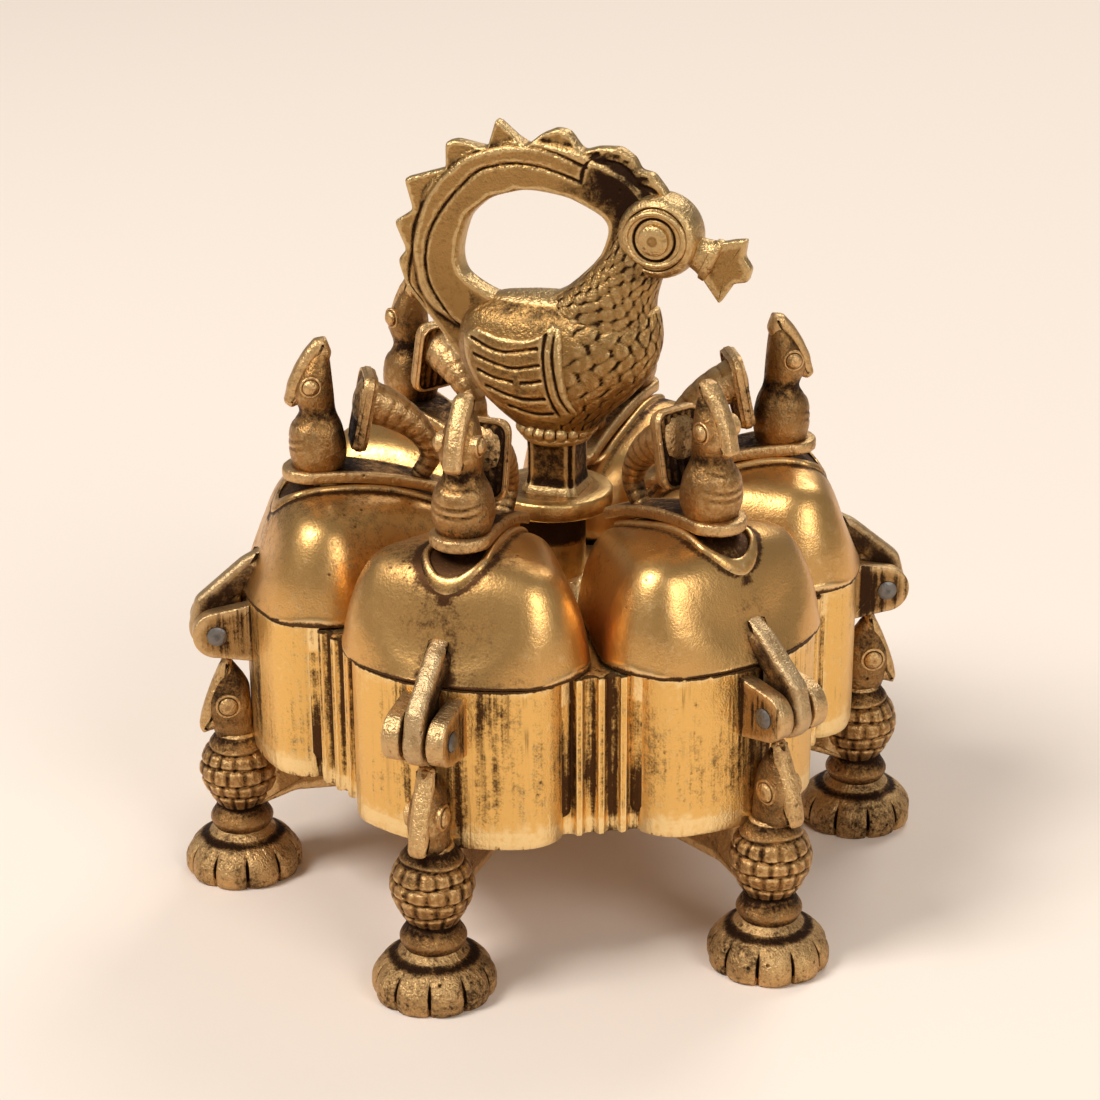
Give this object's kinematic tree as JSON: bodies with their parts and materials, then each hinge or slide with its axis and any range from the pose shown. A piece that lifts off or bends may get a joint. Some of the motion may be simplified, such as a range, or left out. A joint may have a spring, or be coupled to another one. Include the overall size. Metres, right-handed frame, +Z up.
{
  "type": "sindoor box",
  "caption": "Cast brass sindoor box: lobed cups with hinged domed lids and bird finials, a peacock ring handle in the middle, on bird-shaped legs",
  "frame": {"origin": "on the box's vertical centre line, on the floor plane under the feet", "axes": "+Z up; +X the way the peacock faces; +Y away from the front lobe (lid_1 faces -Y)"},
  "size_m": [0.1342, 0.151, 0.1502],
  "materials": {
    "brass_box": "worn polished brass with brown tarnish in the grooves",
    "brass_antique": "darkened brass, bright where it is rubbed",
    "brass_dark": "rough brown cast brass",
    "steel": "dull grey steel"
  },
  "bodies": {
    "box": {"body": "brass_box", "collar": "brass_box", "centre_nut": "steel", "peacock_handle": "brass_antique", "hinge_pin_1": "steel", "hinge_pin_2": "steel", "hinge_pin_3": "steel", "hinge_pin_4": "steel", "hinge_pin_5": "steel", "hinge_pin_6": "steel", "leg_1": "brass_dark", "leg_2": "brass_dark", "leg_3": "brass_dark", "leg_4": "brass_dark", "leg_5": "brass_dark", "leg_6": "brass_dark"},
    "lid_body_1": {"lid_1": "brass_box", "bird_1": "brass_antique"},
    "lid_body_2": {"lid_2": "brass_box", "bird_2": "brass_antique"},
    "lid_body_3": {"lid_3": "brass_box", "bird_3": "brass_antique"},
    "lid_body_4": {"lid_4": "brass_box", "bird_4": "brass_antique"},
    "lid_body_5": {"lid_5": "brass_box", "bird_5": "brass_antique"},
    "lid_body_6": {"lid_6": "brass_box", "bird_6": "brass_antique"}
  },
  "joints": [
    {"name": "lid_1_hinge", "type": "hinge", "parent": "box", "child": "lid_body_1", "pos_m": [0, -0.0672, 0.0535], "axis": [1, 0, 0], "range_deg": [0, 140]},
    {"name": "lid_2_hinge", "type": "hinge", "parent": "box", "child": "lid_body_2", "pos_m": [0.0582, -0.0336, 0.0535], "axis": [0.5, 0.866, 0], "range_deg": [0, 140]},
    {"name": "lid_3_hinge", "type": "hinge", "parent": "box", "child": "lid_body_3", "pos_m": [0.0582, 0.0336, 0.0535], "axis": [-0.5, 0.866, 0], "range_deg": [0, 140]},
    {"name": "lid_4_hinge", "type": "hinge", "parent": "box", "child": "lid_body_4", "pos_m": [0, 0.0672, 0.0535], "axis": [-1, 0, 0], "range_deg": [0, 140]},
    {"name": "lid_5_hinge", "type": "hinge", "parent": "box", "child": "lid_body_5", "pos_m": [-0.0582, 0.0336, 0.0535], "axis": [-0.5, -0.866, 0], "range_deg": [0, 140]},
    {"name": "lid_6_hinge", "type": "hinge", "parent": "box", "child": "lid_body_6", "pos_m": [-0.0582, -0.0336, 0.0535], "axis": [0.5, -0.866, 0], "range_deg": [0, 140]}
  ]
}
